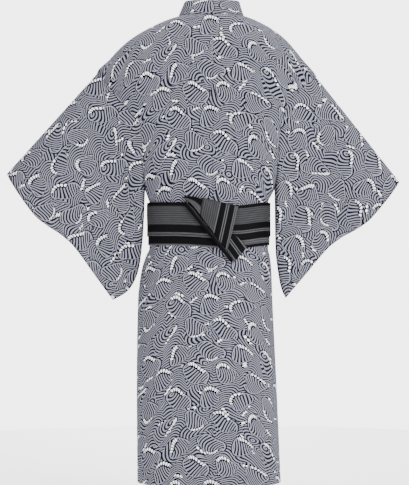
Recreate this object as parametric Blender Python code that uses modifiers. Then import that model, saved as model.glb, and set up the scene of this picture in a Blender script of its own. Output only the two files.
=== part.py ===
"""Cotton yukata robe, worn, with its own belt tied behind.

Metres, +Z up. The wearer faces -Y, so the back of the robe is at +Y and the wearer's left arm
points to +X. The origin lies between the side neck points, at the height where collar and
shoulders meet. The hem is 1.40 m below it.
"""
import math
from collections import namedtuple

import bmesh
import bpy
import numpy as np
from mathutils import Vector

# Driving dimensions of the robe
CLOTH = 0.002
COLLAR_THICKNESS = 0.003
COLLAR_WIDTH = 0.055
COLLAR_STAND = 0.045
COLLAR_TOP_SIDE = 0.082
COLLAR_TOP_BACK = 0.052
COLLAR_END = -0.86
NECK_SIDE = 0.0975
SEAM_GAP = 0.0004
COLLAR_TAPER = 0.65
COLLAR_TAPER_LENGTH = 0.10
OVERLAP_STEP = 0.0042
OVERLAP_SLACK = 0.0040
SLACK_REACH = 0.12
LAP_TURN = 95.0
LAP_SPREAD = 20.0
ROUNDNESS = 2.4
ARMHOLE_BOTTOM = -0.52
CHEST_START = -0.12
FRONT_PANEL_TOP = -0.222

# Driving dimensions of the belt
BELT_WIDTH = 0.100
BELT_TOP = -0.5626
BELT_SHIFT = 0.026
BELT_THICKNESS = 0.0025
BELT_CLEARANCE = 0.0012
BELT_LAP_TURN = 92.0
BELT_STEP = BELT_THICKNESS + BELT_CLEARANCE / 2
BELT_SAG = 0.010
BELT_SAG_SPREAD = 26.0
KNOT_PLACE = 342.0

# Half widths and depths of the body, measured from the origin's upright axis
Level = namedtuple("Level", "height left right back front")
BODY = (
    Level(0.000, 0.0975, 0.0975, 0.062, 0.012),
    Level(-0.009, 0.130, 0.124, 0.068, 0.020),
    Level(-0.039, 0.196, 0.181, 0.080, 0.045),
    Level(-0.069, 0.245, 0.220, 0.091, 0.065),
    Level(-0.100, 0.281, 0.248, 0.100, 0.080),
    Level(-0.130, 0.308, 0.272, 0.106, 0.091),
    Level(-0.172, 0.347, 0.309, 0.112, 0.101),
    Level(-0.181, 0.346, 0.314, 0.113, 0.102),
    Level(-0.250, 0.320, 0.290, 0.118, 0.112),
    Level(-0.335, 0.274, 0.252, 0.122, 0.117),
    Level(-0.450, 0.230, 0.215, 0.121, 0.118),
    Level(-0.520, 0.202, 0.188, 0.116, 0.116),
    Level(-0.545, 0.193, 0.174, 0.111, 0.113),
    Level(-0.560, 0.188, 0.168, 0.108, 0.112),
    Level(-0.700, 0.188, 0.168, 0.108, 0.112),
    Level(-0.720, 0.197, 0.173, 0.110, 0.115),
    Level(-0.764, 0.211, 0.178, 0.117, 0.124),
    Level(-0.850, 0.222, 0.181, 0.131, 0.136),
    Level(-1.100, 0.226, 0.193, 0.136, 0.141),
    Level(-1.400, 0.224, 0.206, 0.134, 0.144),
)

# Where the sleeve is sewn on, as a sideways distance at each height
ArmholeLine = namedtuple("ArmholeLine", "height side")
ARMHOLES = {
    1: (
        ArmholeLine(-0.172, 0.347),
        ArmholeLine(-0.200, 0.320),
        ArmholeLine(-0.250, 0.277),
        ArmholeLine(-0.300, 0.236),
        ArmholeLine(-0.335, 0.211),
        ArmholeLine(-0.400, 0.207),
        ArmholeLine(-0.460, 0.205),
        ArmholeLine(-0.520, 0.201),
    ),
    -1: (
        ArmholeLine(-0.181, 0.314),
        ArmholeLine(-0.210, 0.278),
        ArmholeLine(-0.250, 0.240),
        ArmholeLine(-0.300, 0.212),
        ArmholeLine(-0.335, 0.203),
        ArmholeLine(-0.400, 0.198),
        ArmholeLine(-0.460, 0.194),
        ArmholeLine(-0.520, 0.188),
    ),
}

# Seam lines down the front, as a distance towards the piece's own side of the middle
FrontLine = namedtuple("FrontLine", "height side")
COLLAR_SEAM = (
    FrontLine(0.000, 0.0975),
    FrontLine(-0.060, 0.084),
    FrontLine(-0.130, 0.062),
    FrontLine(-0.210, 0.030),
    FrontLine(-0.300, -0.002),
    FrontLine(-0.420, -0.030),
    FrontLine(-0.560, -0.056),
    FrontLine(-0.700, -0.082),
    FrontLine(-0.860, -0.125),
    FrontLine(-1.400, -0.140),
)
PANEL_SEAM = (
    FrontLine(-0.210, 0.030),
    FrontLine(-0.340, 0.028),
    FrontLine(-0.560, 0.022),
    FrontLine(-0.860, 0.012),
    FrontLine(-1.400, 0.000),
)

# Free edge of the collar beside the neck, for each height of its seam
NeckEdge = namedtuple("NeckEdge", "seam_height side front height")
NECK_EDGE = (
    NeckEdge(0.000, 0.082, 0.000, 0.045),
    NeckEdge(-0.030, 0.070, 0.033, 0.020),
    NeckEdge(-0.060, 0.051, 0.055, -0.018),
    NeckEdge(-0.090, 0.030, 0.072, -0.063),
    NeckEdge(-0.130, 0.003, 0.091, -0.130),
)

# How far down the neck the collar lies inside the body's cloth
NECK_INSIDE_SHARE = 0.85

# Sleeve outlines seen from behind: wrist, lower corner, and the edge beside the body
SleevePoint = namedtuple("SleevePoint", "reach side height")
SLEEVE_INNER = {
    1: (
        SleevePoint(0.00, 0.2035, -0.520),
        SleevePoint(0.20, 0.2060, -0.620),
        SleevePoint(0.36, 0.2120, -0.700),
        SleevePoint(0.52, 0.2230, -0.768),
        SleevePoint(0.76, 0.2540, -0.827),
        SleevePoint(1.00, 0.2990, -0.855),
    ),
    -1: (
        SleevePoint(0.00, 0.1905, -0.520),
        SleevePoint(0.20, 0.1910, -0.620),
        SleevePoint(0.40, 0.1925, -0.704),
        SleevePoint(0.62, 0.1990, -0.765),
        SleevePoint(0.82, 0.2080, -0.815),
        SleevePoint(1.00, 0.2220, -0.849),
    ),
}
WRIST = {1: (0.620, -0.474), -1: (0.566, -0.498)}

# Form of a sleeve between its folds and from the armhole to the cuff
ARM_DIRECTION = (0.9, -0.43)
TOP_FOLD_SHARE = 0.06
LOWER_FOLD_SHARE = 0.03
ROOT_REACH = 0.45
FOLD_REACH = 0.25
FREE_DEPTH = 0.02

# Cuff edge: how far it leaves the straight line, and half its opening, along its length
CuffPoint = namedtuple("CuffPoint", "along jog half_open")
CUFF = (
    CuffPoint(0.00, 0.000, 0.016),
    CuffPoint(0.05, 0.003, 0.034),
    CuffPoint(0.15, 0.009, 0.046),
    CuffPoint(0.30, 0.014, 0.044),
    CuffPoint(0.40, 0.006, 0.030),
    CuffPoint(0.50, -0.008, 0.013),
    CuffPoint(0.60, -0.014, 0.008),
    CuffPoint(0.80, -0.007, 0.007),
    CuffPoint(1.00, 0.000, 0.006),
)

# Fullness of the sleeve between armhole and cuff
SleeveDepth = namedtuple("SleeveDepth", "along half_depth")
SLEEVE_DEPTH = (
    SleeveDepth(0.00, 0.030),
    SleeveDepth(0.08, 0.052),
    SleeveDepth(0.20, 0.058),
    SleeveDepth(0.45, 0.036),
    SleeveDepth(0.75, 0.022),
    SleeveDepth(1.00, 0.007),
)

# A fold starts before its line and ends past it, and fades over a share of its length
FOLD_LEAD = 0.15
FOLD_FADE = 0.35

# Large soft folds, each along a line seen from behind: ridges rise and valleys sink
Fold = namedtuple("Fold", "face start_side start_height end_side end_height width depth")
FOLDS = (
    Fold("back", 0.340, -0.655, 0.288, -0.790, 0.016, -0.010),
    Fold("back", 0.430, -0.500, 0.330, -0.640, 0.030, 0.007),
    Fold("back", 0.205, -0.350, 0.205, -0.540, 0.012, -0.008),
    Fold("back", 0.150, -0.300, 0.165, -0.520, 0.022, 0.005),
    Fold("back", 0.240, -0.300, 0.330, -0.520, 0.028, 0.006),
    Fold("back", 0.150, -0.735, 0.175, -1.000, 0.020, 0.006),
    Fold("back", 0.105, -0.740, 0.120, -1.180, 0.020, -0.005),
    Fold("back", 0.055, -0.760, 0.070, -1.400, 0.030, 0.004),
    Fold("back", -0.030, -0.800, -0.040, -1.400, 0.026, -0.004),
    Fold("back", -0.100, -0.740, -0.125, -1.300, 0.026, 0.005),
    Fold("back", -0.196, -0.360, -0.190, -0.560, 0.012, -0.007),
    Fold("back", -0.140, -0.280, -0.150, -0.520, 0.020, 0.005),
    Fold("back", -0.250, -0.300, -0.300, -0.620, 0.028, 0.006),
    Fold("back", -0.420, -0.520, -0.300, -0.700, 0.026, -0.007),
    Fold("front", 0.360, -0.600, 0.300, -0.780, 0.018, -0.008),
    Fold("front", 0.270, -0.300, 0.330, -0.560, 0.028, 0.006),
    Fold("front", 0.150, -0.290, 0.120, -0.530, 0.020, 0.006),
    Fold("front", 0.150, -0.740, 0.165, -1.240, 0.024, 0.006),
    Fold("front", 0.085, -0.730, 0.105, -1.400, 0.022, -0.005),
    Fold("front", -0.020, -0.740, 0.010, -1.320, 0.026, 0.005),
    Fold("front", -0.085, -0.740, -0.060, -1.200, 0.020, -0.004),
    Fold("front", -0.150, -0.300, -0.130, -0.530, 0.020, 0.006),
    Fold("front", -0.255, -0.320, -0.300, -0.580, 0.026, 0.006),
    Fold("front", -0.400, -0.540, -0.290, -0.720, 0.024, -0.007),
)

# Knot pieces seen from behind: corners from the upper left, going round
KnotPiece = namedtuple(
    "KnotPiece", "name upper_left upper_right lower_right lower_left stand bulge depth")
KNOT = (
    KnotPiece("belt_knot_flap", (0.0875, -0.5480), (0.0000, -0.5560),
              (0.0100, -0.6000), (0.0700, -0.5640), 0.0004, 0.000, 0.005),
    KnotPiece("belt_knot_tail", (-0.0220, -0.6640), (-0.0633, -0.6545),
              (-0.1035, -0.6950), (-0.0643, -0.7395), 0.0004, 0.000, 0.005),
    KnotPiece("belt_knot_band", (0.0290, -0.5505), (-0.0775, -0.5750),
              (-0.0435, -0.7075), (0.0345, -0.5990), 0.0058, 0.006, 0.006),
    KnotPiece("belt_knot_fold", (0.0745, -0.5560), (-0.0560, -0.7255),
              (-0.0600, -0.7420), (0.0800, -0.5700), 0.0058, 0.001, 0.011),
)

# Mesh steps
BACK_COLUMNS = 12
FRONT_COLUMNS = 11
SHOULDER_ROWS = 8
LOWER_HEIGHTS = (
    -0.545, -0.560, -0.630, -0.700, -0.720, -0.764, -0.820,
    -0.900, -1.000, -1.100, -1.200, -1.300, -1.400,
)
PANEL_COLUMNS = 5
COLLAR_COLUMNS = 4
NECK_COLUMNS = 6
SLEEVE_ROWS = 10
SLEEVE_HALF_COLUMNS = 12
BELT_COLUMNS = 48
BELT_ROWS = 2
KNOT_STEPS = 5

# Colour, roughness
COTTON = ((0.26, 0.27, 0.33), 0.85)
COLLAR_COTTON = ((0.28, 0.29, 0.35), 0.85)
BELT_WEAVE = ((0.020, 0.019, 0.022), 0.75)
BELT_STRIPE = ((0.055, 0.055, 0.060), 0.75)


class Curve:
    """Smooth curve through a table's points, level where the table turns."""

    def __init__(self, keys, values):
        order = np.argsort(keys)
        self.keys = np.asarray(keys, float)[order]
        self.values = np.asarray(values, float)[order]
        rise = np.diff(self.values) / np.diff(self.keys)
        self.slopes = np.zeros(len(self.keys))
        self.slopes[0] = rise[0]
        self.slopes[-1] = rise[-1]
        for i in range(1, len(rise)):
            if rise[i - 1] * rise[i] > 0:
                self.slopes[i] = 2 * rise[i - 1] * rise[i] / (rise[i - 1] + rise[i])

    def __call__(self, key):
        i = int(np.clip(np.searchsorted(self.keys, key) - 1, 0, len(self.keys) - 2))
        step = self.keys[i + 1] - self.keys[i]
        t = min(max((key - self.keys[i]) / step, 0.0), 1.0)
        start = self.values[i] * (1 + 2 * t) + self.slopes[i] * step * t
        end = self.values[i + 1] * (3 - 2 * t) + self.slopes[i + 1] * step * (t - 1)
        return float(start * (1 - t) ** 2 + end * t ** 2)


def column(rows, key, value):
    """Smooth curve of one named column of a table against another."""
    return Curve([getattr(row, key) for row in rows], [getattr(row, value) for row in rows])


HALF_LEFT = column(BODY, "height", "left")
HALF_RIGHT = column(BODY, "height", "right")
DEPTH_BACK = column(BODY, "height", "back")
DEPTH_FRONT = column(BODY, "height", "front")
ARMHOLE_SIDE = {side: column(rows, "height", "side") for side, rows in ARMHOLES.items()}
COLLAR_SIDE = column(COLLAR_SEAM, "height", "side")
PANEL_SIDE = column(PANEL_SEAM, "height", "side")


def ease(value):
    """0 to 1 with a level start and end."""
    value = min(max(value, 0.0), 1.0)
    return value * value * (3 - 2 * value)


def fold_height(face, side, height):
    """How far the folds of one face move its cloth outwards at a place."""
    total = 0.0
    for fold in FOLDS:
        if fold.face != face:
            continue
        run = (fold.end_side - fold.start_side, fold.end_height - fold.start_height)
        away = (side - fold.start_side, height - fold.start_height)
        length = math.hypot(*run)
        along = (away[0] * run[0] + away[1] * run[1]) / length ** 2
        across = (away[0] * run[1] - away[1] * run[0]) / length
        fade_in = ease((along + FOLD_LEAD) / FOLD_FADE)
        fade_out = ease((1 + FOLD_LEAD - along) / FOLD_FADE)
        total += fold.depth * fade_in * fade_out * math.exp(-(across / fold.width) ** 2)
    return total


def ring_point(height, turn, out=0.0):
    """Place on the body's form: turn 0 is the middle of the back, 90 the wearer's left side."""
    angle = math.radians(turn)
    s, c = math.sin(angle), math.cos(angle)
    half = HALF_LEFT(height) if s > 0 else HALF_RIGHT(height)
    depth = DEPTH_BACK(height) if c > 0 else DEPTH_FRONT(height)
    side = math.copysign(abs(s) ** (2 / ROUNDNESS), s)
    forward = math.copysign(abs(c) ** (2 / ROUNDNESS), c)
    crease = fold_height("back" if c > 0 else "front", side * half, height) * forward ** 2
    return Vector((side * (half + out), forward * (depth + out + crease), height))


def front_turn(side, height):
    """Turn at which the front of the body's form lies at a sideways place."""
    half = HALF_LEFT(height) if side > 0 else HALF_RIGHT(height)
    share = min(abs(side) / half, 1.0) ** (ROUNDNESS / 2)
    return 180.0 - math.copysign(math.degrees(math.asin(share)), side)


def layer(side, turn, height):
    """Height of a front above the form: the left one laps, more freely away from the belt."""
    if side < 0:
        return 0.0
    from_belt = abs(height - BELT_TOP + BELT_WIDTH / 2) - BELT_WIDTH
    step = OVERLAP_STEP + OVERLAP_SLACK * ease(from_belt / SLACK_REACH)
    return step * ease((turn - LAP_TURN) / LAP_SPREAD)


def spread(first, last, steps):
    """Evenly spaced values from first to last."""
    return [first + (last - first) * i / steps for i in range(steps + 1)]


def sleeve_alongs():
    """Shares of the way down a sleeve from its top fold, closer together at the folds."""
    even = spread(0.0, 1.0, SLEEVE_HALF_COLUMNS)
    return [0.4 * share + 0.6 * (0.5 - 0.5 * math.cos(math.pi * share)) for share in even]


def body_heights(side):
    """Heights of the rows of a body piece, from the neck to the hem."""
    top = ARMHOLES[side][0].height
    shoulder = [top * (i / SHOULDER_ROWS) ** 1.6 for i in range(SHOULDER_ROWS)]
    armhole = [top + (ARMHOLE_BOTTOM - top) * along for along in sleeve_alongs()]
    return shoulder + armhole + list(LOWER_HEIGHTS)


def armhole_turn(side, height):
    """Angle between the middle of the back and the armhole's edge, 90 above and below it."""
    if height >= ARMHOLES[side][0].height or height <= ARMHOLE_BOTTOM:
        return 90.0
    half = HALF_LEFT(height) if side > 0 else HALF_RIGHT(height)
    share = min(ARMHOLE_SIDE[side](height) / half, 1.0)
    return math.degrees(math.asin(share ** (ROUNDNESS / 2)))


def front_edge(side, height):
    """Turn of the body piece's front edge: the collar's seam, then the overlap panel's."""
    line = COLLAR_SIDE if height > PANEL_SEAM[0].height else PANEL_SIDE
    return front_turn(side * (line(height) + SEAM_GAP), height)


def turned(side, angle):
    """Turn of a place that lies an angle away from the middle of the back on one side."""
    return angle if side > 0 else 360.0 - angle


def body_rows(side):
    """Rows of the back and of the front of one body piece."""
    back = []
    front = []
    for height in body_heights(side):
        opening = armhole_turn(side, height)
        first = math.degrees((SEAM_GAP / HALF_LEFT(height)) ** (ROUNDNESS / 2))
        row = [turned(side, angle) for angle in spread(first, opening, BACK_COLUMNS)]
        back.append([ring_point(height, turn, layer(side, turn, height)) for turn in row])
        start = turned(side, 180.0 - opening)
        end = front_edge(side, height) if height < 0 else start
        row = spread(start, end, FRONT_COLUMNS)
        front.append([ring_point(height, turn, layer(side, turn, height)) for turn in row])
    return back, front


def panel_rows(side):
    """Rows of one overlap panel, from its point on the chest to the hem."""
    heights = [height for height in body_heights(side) if height < FRONT_PANEL_TOP - 0.02]
    rows = []
    for height in [FRONT_PANEL_TOP] + heights:
        inner = front_turn(side * (PANEL_SIDE(height) - SEAM_GAP), height)
        outer = front_turn(side * (COLLAR_SIDE(height) + SEAM_GAP), height)
        rows.append([ring_point(height, turn, layer(side, turn, height))
                     for turn in spread(inner, outer, PANEL_COLUMNS)])
    return rows


def standing_rows(side):
    """Rows of the collar around one half of the back of the neck."""
    rows = []
    for angle in spread(0.0, 90.0, NECK_COLUMNS):
        seam = ring_point(0.0, turned(side, angle), -COLLAR_THICKNESS - SEAM_GAP)
        seam.z += 2 * SEAM_GAP
        top_side = seam.x * COLLAR_TOP_SIDE / NECK_SIDE
        top_back = seam.y * COLLAR_TOP_BACK / DEPTH_BACK(0.0)
        top = Vector((top_side, top_back, COLLAR_STAND))
        rows.append([seam.lerp(top, share) for share in spread(0.0, 1.0, COLLAR_COLUMNS)])
    return rows


def neck_rows(side):
    """Rows of the collar from the side of the neck down to the chest."""
    edge_side = column(NECK_EDGE, "seam_height", "side")
    edge_front = column(NECK_EDGE, "seam_height", "front")
    edge_height = column(NECK_EDGE, "seam_height", "height")
    lowest = NECK_EDGE[-1].seam_height
    rows = []
    for height in body_heights(side):
        if not CHEST_START < height < 0:
            continue
        turn = front_turn(side * (COLLAR_SIDE(height) - SEAM_GAP), height)
        seam = ring_point(height, turn, layer(side, turn, height))
        inside = (COLLAR_THICKNESS + 2 * SEAM_GAP) * (1 - ease(height / lowest * NECK_INSIDE_SHARE))
        seam -= Vector((seam.x, seam.y, 0.0)).normalized() * inside
        over = layer(side, 180.0, height) * ease(height / lowest)
        edge = Vector((side * edge_side(height), -edge_front(height) - over, edge_height(height)))
        rows.append([seam.lerp(edge, share) for share in spread(0.0, 1.0, COLLAR_COLUMNS)])
    return rows


def chest_rows(side):
    """Rows of the collar that lie on the front, down to its end."""
    heights = [height for height in body_heights(side) if COLLAR_END < height <= CHEST_START]
    heights.append(COLLAR_END)
    rows = []
    for height in heights:
        slant = (COLLAR_SIDE(height + 0.01) - COLLAR_SIDE(height - 0.01)) / 0.02
        width = COLLAR_WIDTH * math.hypot(1.0, slant)
        above_end = height - COLLAR_END
        width *= 1.0 - COLLAR_TAPER * ease(1 - above_end / COLLAR_TAPER_LENGTH)
        inner = COLLAR_SIDE(height) - SEAM_GAP
        first = front_turn(side * inner, height)
        last = front_turn(side * (inner - width), height)
        rows.append([ring_point(height, turn, layer(side, turn, height))
                     for turn in spread(first, last, COLLAR_COLUMNS)])
    return rows


def collar_rows():
    """Rows of the whole collar, from the end of the left front round the neck to the right one."""
    left = standing_rows(1) + neck_rows(1) + chest_rows(1)
    right = standing_rows(-1)[1:] + neck_rows(-1) + chest_rows(-1)
    return left[::-1] + right


def armhole_point(side, height, face):
    """Outer edge of the body piece at the armhole, a seam's gap further out."""
    turn = turned(side, armhole_turn(side, height))
    if face == "front":
        turn = turned(side, 180.0 - armhole_turn(side, height))
    here = ring_point(height, turn, layer(side, turn, height))
    beside = ring_point(height, turn + 1.0, layer(side, turn + 1.0, height)) - here
    below = ring_point(height - 0.004, turn, layer(side, turn, height)) - here
    outward = beside.cross(below).normalized()
    away = Vector((side * ARM_DIRECTION[0], 0.0, ARM_DIRECTION[1]))
    return here + outward * CLOTH + away * 2 * SEAM_GAP


def rounded(share, reach):
    """0 at a fold's edge, rising as a quarter circle to 1 at its reach."""
    return math.sqrt(1 - (1 - min(share / reach, 1.0)) ** 2)


def sleeve_point(side, reach, along, face):
    """Place on a sleeve, reach from armhole to cuff and along from the top fold to the lower."""
    top = ARMHOLES[side][0].height
    root = armhole_point(side, top + (ARMHOLE_BOTTOM - top) * along, face)
    inner_side = column(SLEEVE_INNER[side], "reach", "side")
    inner_height = column(SLEEVE_INNER[side], "reach", "height")
    corner = Vector((inner_side(1.0), inner_height(1.0)))
    wrist = Vector(WRIST[side])
    edge = corner - wrist
    outward = Vector((-edge.y, edge.x)).normalized()
    cuff = wrist + edge * along + outward * column(CUFF, "along", "jog")(along)
    flat = Vector((abs(root.x), root.z)).lerp(cuff, reach)
    below = Vector((inner_side(0.0), inner_height(0.0))).lerp(corner, reach)
    flat += (Vector((inner_side(reach), inner_height(reach))) - below) * along ** 2
    open_half = column(CUFF, "along", "half_open")(along)
    full_half = column(SLEEVE_DEPTH, "along", "half_depth")(along)
    near_cuff = ease(reach * 2 - 1)
    depth = full_half * (1 - near_cuff) + open_half * near_cuff
    depth *= rounded(along, TOP_FOLD_SHARE) * rounded(1 - along, LOWER_FOLD_SHARE)
    swell = min(depth / FREE_DEPTH, 1.0) * ease(reach / FOLD_REACH)
    depth += fold_height(face, side * flat.x, flat.y) * swell
    away = depth if face == "back" else -depth
    from_root = ease(reach / ROOT_REACH)
    across = away * from_root + root.y * (1 - from_root)
    return Vector((side * flat.x, across, flat.y))


def sleeve_rows(side):
    """Closed rows round one sleeve, from the armhole to the cuff."""
    alongs = sleeve_alongs()
    rows = []
    for reach in spread(0.0, 1.0, SLEEVE_ROWS):
        row = [sleeve_point(side, reach, along, "back") for along in alongs]
        row += [sleeve_point(side, reach, along, "front") for along in alongs[-2::-1]]
        rows.append(row)
    return rows


def belt_out(turn):
    """Height of the belt's inner face above the form, which grows over the lapped fronts."""
    lap = ease((turn - BELT_LAP_TURN) / LAP_SPREAD)
    lap *= ease((360.0 - BELT_LAP_TURN - turn) / LAP_SPREAD)
    back = CLOTH + BELT_CLEARANCE
    front = OVERLAP_STEP + COLLAR_THICKNESS + BELT_CLEARANCE
    return back + (front - back) * lap


def belt_rows(drop, out):
    """Closed rows of one turn of the belt, which sags a little towards its knot."""
    rows = []
    for lower in spread(0.0, BELT_WIDTH, BELT_ROWS):
        row = []
        for i in range(BELT_COLUMNS + 1):
            turn = 360.0 * i / BELT_COLUMNS
            away = (turn - KNOT_PLACE + 180.0) % 360.0 - 180.0
            sag = BELT_SAG * math.exp(-(away / BELT_SAG_SPREAD) ** 2)
            point = ring_point(BELT_TOP - BELT_WIDTH / 2, turn, belt_out(turn) + out)
            point.z = BELT_TOP - drop - lower - sag
            row.append(point)
        rows.append(row)
    return rows


def knot_rows(piece):
    """Rows of one piece of the knot, on the back of the belt."""
    out = belt_out(0.0) + BELT_STEP + BELT_THICKNESS + piece.stand
    level = BELT_TOP - BELT_WIDTH / 2
    rows = []
    for down in spread(0.0, 1.0, KNOT_STEPS):
        row = []
        for across in spread(0.0, 1.0, KNOT_STEPS):
            upper = Vector(piece.upper_left).lerp(Vector(piece.upper_right), across)
            lower = Vector(piece.lower_left).lerp(Vector(piece.lower_right), across)
            place = upper.lerp(lower, down)
            half = (HALF_LEFT(level) if place.x > 0 else HALF_RIGHT(level)) + out
            curve = (1 - abs(place.x / half) ** ROUNDNESS) ** (1 / ROUNDNESS)
            swell = piece.bulge * (math.sin(math.pi * across) * math.sin(math.pi * down)) ** 2
            row.append(Vector((place.x, (DEPTH_BACK(level) + out) * curve + swell, place.y)))
        rows.append(row)
    return rows


def add_rows(mesh, rows, flipped):
    """Add a sheet of faces through rows of points."""
    verts = [[mesh.verts.new(point) for point in row] for row in rows]
    for upper, lower in zip(verts, verts[1:]):
        for i in range(len(upper) - 1):
            corners = [upper[i], upper[i + 1], lower[i + 1], lower[i]]
            mesh.faces.new(corners[::-1] if flipped else corners)


def material(name, look):
    """Plain material from a colour and a roughness."""
    colour, roughness = look
    made = bpy.data.materials.get(name) or bpy.data.materials.new(name)
    made.use_nodes = True
    shader = made.node_tree.nodes["Principled BSDF"]
    shader.inputs["Base Color"].default_value = (*colour, 1.0)
    shader.inputs["Roughness"].default_value = roughness
    shader.inputs["Metallic"].default_value = 0.0
    return made


def cloth_piece(name, sheets, thickness, look, flipped=False, outward=True):
    """Object of one piece of cloth: its sheets, joined where they meet, given a thickness."""
    work = bmesh.new()
    for rows in sheets:
        add_rows(work, rows, flipped)
    bmesh.ops.remove_doubles(work, verts=work.verts, dist=0.00002)
    mesh = bpy.data.meshes.new(name)
    work.to_mesh(mesh)
    work.free()
    mesh.shade_smooth()
    piece = bpy.data.objects.new(name, mesh)
    robe.objects.link(piece)
    piece.data.materials.append(material(*look))
    wall = piece.modifiers.new("Cloth", "SOLIDIFY")
    wall.thickness = thickness
    wall.offset = 1.0 if outward else -1.0
    wall.use_even_offset = True
    return piece


def make_body():
    """Back and front of each side, cut in one over the shoulder, with the armhole open."""
    for side, name in ((1, "body_left"), (-1, "body_right")):
        cloth_piece(name, body_rows(side), CLOTH, ("cotton", COTTON), flipped=side < 0)


def make_panels():
    """The overlap panel on each front."""
    for side, name in ((1, "overlap_panel_left"), (-1, "overlap_panel_right")):
        cloth_piece(name, [panel_rows(side)], CLOTH, ("cotton", COTTON), flipped=side < 0)


def make_collar():
    """The long collar band."""
    look = ("collar_cotton", COLLAR_COTTON)
    cloth_piece("collar", [collar_rows()], COLLAR_THICKNESS, look, flipped=True)


def make_sleeves():
    """The wide sleeves, closed below the arm's opening."""
    look = ("cotton", COTTON)
    for side, name in ((1, "sleeve_left"), (-1, "sleeve_right")):
        cloth_piece(name, [sleeve_rows(side)], CLOTH, look, flipped=side > 0, outward=False)


def make_belt():
    """Two turns of the belt, the outer one higher."""
    under = belt_rows(BELT_SHIFT, 0.0)
    outer = belt_rows(0.0, BELT_STEP)
    cloth_piece("belt_under_turn", [under], BELT_THICKNESS, ("belt_weave", BELT_WEAVE))
    cloth_piece("belt_outer_turn", [outer], BELT_THICKNESS, ("belt_stripe", BELT_STRIPE))


def make_knot():
    """The flat knot at the back of the belt."""
    look = ("belt_stripe", BELT_STRIPE)
    for piece in KNOT:
        cloth_piece(piece.name, [knot_rows(piece)], piece.depth, look, flipped=True)


for old in list(bpy.data.objects):
    bpy.data.objects.remove(old, do_unlink=True)
robe = bpy.data.collections.new("yukata_robe")
bpy.context.scene.collection.children.link(robe)
make_body()
make_panels()
make_collar()
make_sleeves()
make_belt()
make_knot()
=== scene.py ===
"""Cotton yukata robe, worn, with its woven belt tied in a flat knot behind."""
import math
from collections import namedtuple

import bmesh
import bpy
import numpy as np
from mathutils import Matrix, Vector


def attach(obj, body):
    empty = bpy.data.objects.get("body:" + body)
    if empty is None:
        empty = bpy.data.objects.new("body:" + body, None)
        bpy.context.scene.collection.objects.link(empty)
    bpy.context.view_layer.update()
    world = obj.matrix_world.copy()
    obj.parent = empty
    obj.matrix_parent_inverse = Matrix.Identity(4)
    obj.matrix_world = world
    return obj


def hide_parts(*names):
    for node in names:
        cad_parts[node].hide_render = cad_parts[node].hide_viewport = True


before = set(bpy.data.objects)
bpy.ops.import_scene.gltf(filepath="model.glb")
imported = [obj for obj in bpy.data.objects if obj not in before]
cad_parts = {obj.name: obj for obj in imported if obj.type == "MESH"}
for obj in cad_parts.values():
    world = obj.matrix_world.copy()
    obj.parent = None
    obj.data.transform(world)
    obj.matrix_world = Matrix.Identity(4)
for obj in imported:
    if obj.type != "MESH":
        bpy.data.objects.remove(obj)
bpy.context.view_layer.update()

# Body widths. The robe hangs from the shoulders as two widths of cotton, each back and front in
# one length, joined down the middle of the back. Their form is a stack of rounded rings whose
# half widths and depths follow the worn cloth.


def table(columns, *rows):
    """Table with named columns, from its rows."""
    Row = namedtuple("Row", columns)
    return [Row(*row) for row in rows]


BODY = table(
    "height left right back front",
    (0.000, 0.0975, 0.0975, 0.062, 0.012),
    (-0.009, 0.130, 0.124, 0.068, 0.020),
    (-0.039, 0.196, 0.181, 0.080, 0.045),
    (-0.069, 0.245, 0.220, 0.091, 0.065),
    (-0.100, 0.281, 0.248, 0.100, 0.080),
    (-0.130, 0.308, 0.272, 0.106, 0.091),
    (-0.172, 0.347, 0.309, 0.112, 0.101),
    (-0.181, 0.346, 0.314, 0.113, 0.102),
    (-0.250, 0.320, 0.290, 0.118, 0.112),
    (-0.335, 0.274, 0.252, 0.122, 0.117),
    (-0.450, 0.230, 0.215, 0.121, 0.118),
    (-0.520, 0.202, 0.188, 0.116, 0.116),
    (-0.545, 0.193, 0.174, 0.111, 0.113),
    (-0.560, 0.188, 0.168, 0.108, 0.112),
    (-0.700, 0.188, 0.168, 0.108, 0.112),
    (-0.720, 0.197, 0.173, 0.110, 0.115),
    (-0.764, 0.211, 0.178, 0.117, 0.124),
    (-0.850, 0.222, 0.181, 0.131, 0.136),
    (-1.100, 0.226, 0.193, 0.136, 0.141),
    (-1.400, 0.224, 0.206, 0.134, 0.144),
)
ROUNDNESS = 2.4
ARMHOLE_BOTTOM = -0.52
COTTON_THICKNESS = 0.0008
COTTON_OUT = 0.0006
SEAM_GAP = 0.0002
SEAM_TUCK = 0.0009
BESIDE_SEAM = 0.0022
HEM_HEIGHT = -1.4
HEM_DEPTH = 0.018
LAP_HEIGHT = 0.0042
LAP_FREE = 0.0040
WAIST_HEIGHT = -0.6126

ARMHOLES = {
    1: table(
        "height side",
        (-0.172, 0.347),
        (-0.200, 0.320),
        (-0.250, 0.277),
        (-0.300, 0.236),
        (-0.335, 0.211),
        (-0.400, 0.207),
        (-0.460, 0.205),
        (-0.520, 0.201),
    ),
    -1: table(
        "height side",
        (-0.181, 0.314),
        (-0.210, 0.278),
        (-0.250, 0.240),
        (-0.300, 0.212),
        (-0.335, 0.203),
        (-0.400, 0.198),
        (-0.460, 0.194),
        (-0.520, 0.188),
    ),
}
COLLAR_SEAM = table(
    "height side",
    (0.000, 0.0975),
    (-0.060, 0.084),
    (-0.130, 0.062),
    (-0.210, 0.030),
    (-0.300, -0.002),
    (-0.420, -0.030),
    (-0.560, -0.056),
    (-0.700, -0.082),
    (-0.860, -0.125),
    (-1.400, -0.140),
)
PANEL_SEAM = table(
    "height side",
    (-0.210, 0.030),
    (-0.340, 0.028),
    (-0.560, 0.022),
    (-0.860, 0.012),
    (-1.400, 0.000),
)

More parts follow.
